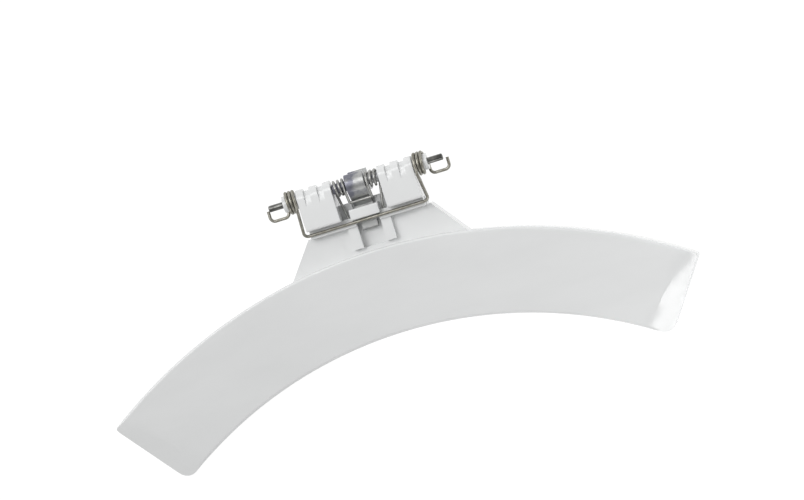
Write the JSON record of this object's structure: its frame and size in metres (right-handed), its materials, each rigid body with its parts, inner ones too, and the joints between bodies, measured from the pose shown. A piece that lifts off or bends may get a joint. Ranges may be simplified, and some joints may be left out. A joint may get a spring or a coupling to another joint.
{
  "type": "washing machine door handle",
  "caption": "Curved white pull grip with a hinged neck, steel pin, double return spring and a sprung latch hook for a round washing machine door.",
  "frame": {"origin": "middle of the hinge pin, on its axis", "axes": "+X along the hinge pin, +Y from the grip towards the hinge and beyond it, +Z out of the front face that is seen on the closed door"},
  "size_m": [0.23, 0.0928, 0.0226],
  "materials": {
    "white_moulded_abs": "white moulded ABS with a soft gloss",
    "ground_steel": "plain ground steel, slightly dull",
    "drawn_spring_steel": "drawn spring wire, oiled grey-brown",
    "cast_zinc": "die-cast zinc, as cast, matt grey",
    "small_spring_steel": "drawn spring wire, grey"
  },
  "bodies": {
    "pin": {"hinge_pin": "ground_steel", "return_spring": "drawn_spring_steel"},
    "handle": {"handle": "white_moulded_abs", "latch_spring": "small_spring_steel"},
    "latch": {"latch_hook": "cast_zinc"}
  },
  "joints": [
    {"name": "handle_pull", "type": "hinge", "parent": "pin", "child": "handle", "pos_m": [0, 0, 0], "axis": [-1, 0, 0], "range_deg": [0, 25], "stiffness_Nm_per_rad": 0.6, "deforming": ["return_spring"]},
    {"name": "latch_pivot", "type": "hinge", "parent": "handle", "child": "latch", "pos_m": [0, 0, 0], "axis": [-1, 0, 0], "range_deg": [0, 12], "stiffness_Nm_per_rad": 0.2, "springref_deg": -11.46, "deforming": ["latch_spring"]}
  ]
}
